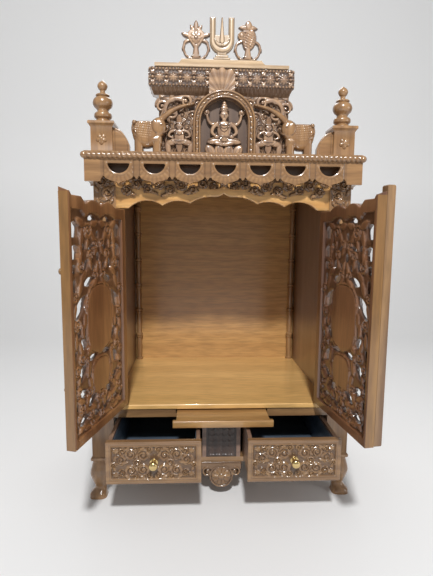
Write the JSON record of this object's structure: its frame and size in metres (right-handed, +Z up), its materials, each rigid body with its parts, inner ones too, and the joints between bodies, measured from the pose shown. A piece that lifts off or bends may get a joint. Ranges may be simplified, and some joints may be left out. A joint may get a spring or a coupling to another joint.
{
  "type": "pooja mandir",
  "caption": "Carved wooden home shrine on short curved legs, with pierced double doors, drawers, a pull-out tray, a scalloped valance and a carved crown.",
  "frame": {"origin": "on the floor at the middle of the shrine's width, midway between the tips of the open doors and the back", "axes": "+X to the viewer's right, +Y into the shrine towards its back, +Z up"},
  "size_m": [0.94, 0.9582, 1.648],
  "materials": {
    "teak": "polished varnish over carved teak",
    "golden_teak": "polished varnish, golden straight grain",
    "red_teak": "dark red-brown polished varnish",
    "inner_teak": "satin varnish",
    "brass": "polished brass"
  },
  "bodies": {
    "cabinet": {"front_legs": "teak", "back_legs": "teak", "base_sides": "inner_teak", "base_back": "inner_teak", "bottom_board": "inner_teak", "front_rail": "teak", "platform": "golden_teak", "dividers": "inner_teak", "centre_panel": "teak", "rosette_apron": "teak", "drawer_runners": "inner_teak", "tray_guides": "inner_teak", "front_posts": "teak", "back_posts": "teak", "back_columns": "teak", "side_panels": "inner_teak", "back_panel": "inner_teak", "pelmet": "golden_teak", "cornice_board": "teak", "rope_moulding": "teak", "valance_front": "teak", "valance_sides": "teak", "corner_finials": "teak", "wing_brackets": "teak", "crown_pedestal": "teak", "crown_frieze": "teak", "crown_steps": "teak", "niche_arch": "teak", "upright_mark": "teak", "disc_emblem": "teak", "conch_emblem": "teak", "seated_figure": "teak", "attendant_figures": "teak", "elephants": "teak", "scroll_brackets": "teak", "hinge_post_leaves": "brass"},
    "tray": {"tray_board": "golden_teak", "tray_batten": "golden_teak"},
    "drawer_left": {"drawer_left_front": "teak", "drawer_left_box": "inner_teak", "drawer_left_knob": "brass"},
    "drawer_right": {"drawer_right_front": "teak", "drawer_right_box": "inner_teak", "drawer_right_knob": "brass"},
    "door_left": {"door_left_frame": "red_teak", "door_left_panel": "red_teak", "door_left_hinges": "brass"},
    "door_right": {"door_right_frame": "red_teak", "door_right_panel": "red_teak", "door_right_hinges": "brass", "door_right_cover_strip": "teak"}
  },
  "joints": [
    {"name": "door_left_swing", "type": "hinge", "parent": "cabinet", "child": "door_left", "pos_m": [-0.3555, -0.12595, 0.7], "axis": [0, 0, -1], "range_deg": [-104.8, 60.2]},
    {"name": "door_right_swing", "type": "hinge", "parent": "cabinet", "child": "door_right", "pos_m": [0.3555, -0.12595, 0.7], "axis": [0, 0, 1], "range_deg": [-98.2, 66.8]},
    {"name": "drawer_left_slide", "type": "slide", "parent": "cabinet", "child": "drawer_left", "axis": [0, -1, 0], "range_m": [-0.175, 0.2]},
    {"name": "drawer_right_slide", "type": "slide", "parent": "cabinet", "child": "drawer_right", "axis": [0, -1, 0], "range_m": [-0.175, 0.2]},
    {"name": "tray_slide", "type": "slide", "parent": "cabinet", "child": "tray", "axis": [0, -1, 0], "range_m": [-0.077, 0.15]}
  ]
}
